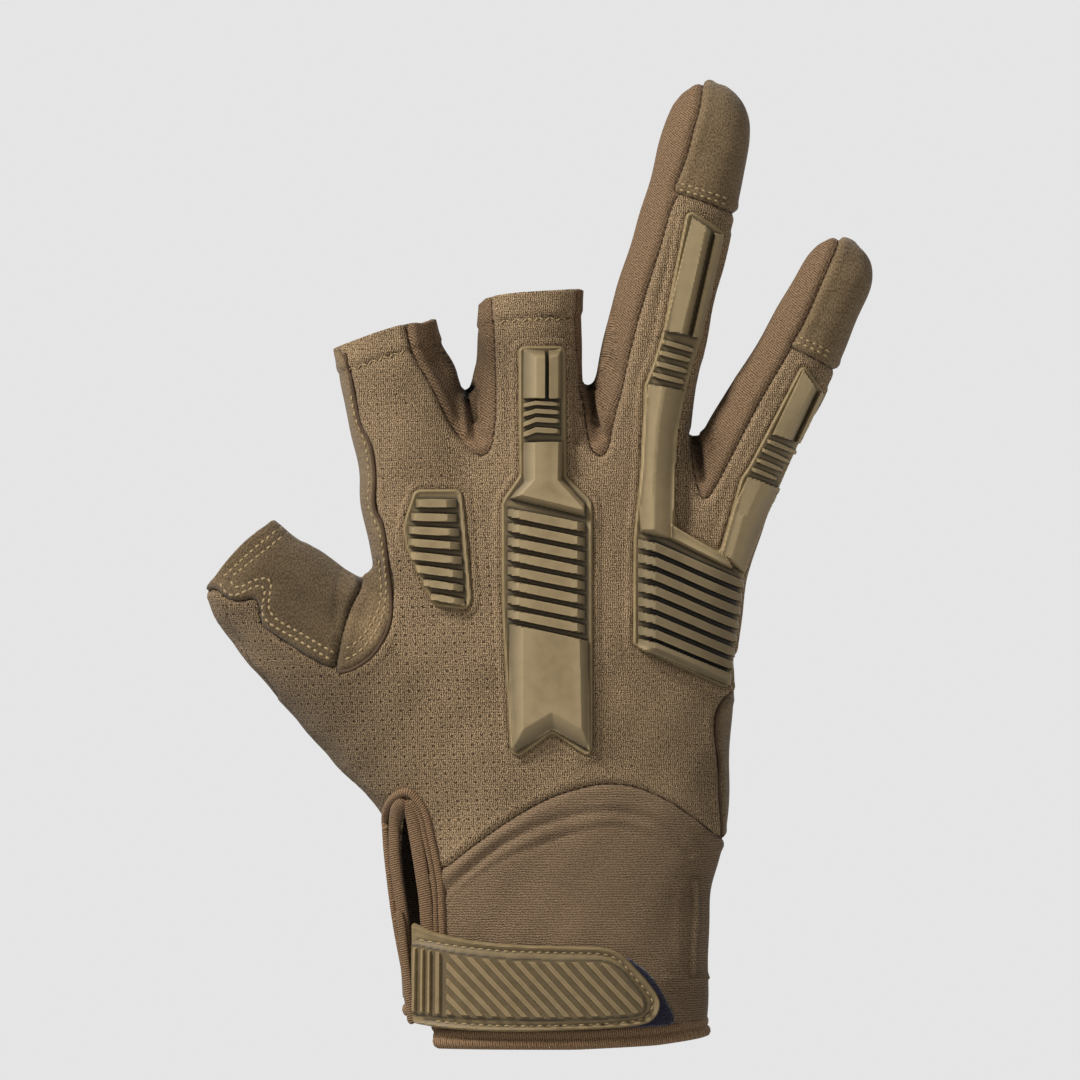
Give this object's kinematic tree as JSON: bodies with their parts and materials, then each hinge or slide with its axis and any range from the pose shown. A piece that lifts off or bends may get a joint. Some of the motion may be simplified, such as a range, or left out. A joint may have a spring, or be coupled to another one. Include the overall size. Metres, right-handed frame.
{
  "type": "tactical glove",
  "caption": "Right-hand tactical glove with rubber knuckle guards, three cut-off fingers, two full fingers and a wrist closure strap.",
  "frame": {"origin": "middle of the wrist opening, level with the hem", "axes": "+Z from the wrist to the fingertips, -Y out of the back of the hand, -X towards the thumb"},
  "size_m": [0.1657, 0.0456, 0.2419],
  "materials": {
    "knit": "matt",
    "suede": "matt",
    "stretch": "matt",
    "cuff_knit": "matt",
    "tape": "matt",
    "loop": "matt",
    "guard_rubber": "satin"
  },
  "bodies": {
    "root": {"back_panel": "knit", "palm_panel": "suede", "fourchette_index_middle": "stretch", "fourchette_middle_ring": "stretch", "fourchette_ring_pinky": "stretch", "thumb_patch": "suede", "fingertip_cap_ring": "suede", "fingertip_cap_pinky": "suede", "cuff": "cuff_knit", "hem_binding": "tape", "slit_binding": "tape", "loop_patch": "loop", "closure_strap": "guard_rubber", "guard_index": "guard_rubber", "guard_middle": "guard_rubber", "guard_ring_pinky": "guard_rubber"}
  },
  "joints": []
}
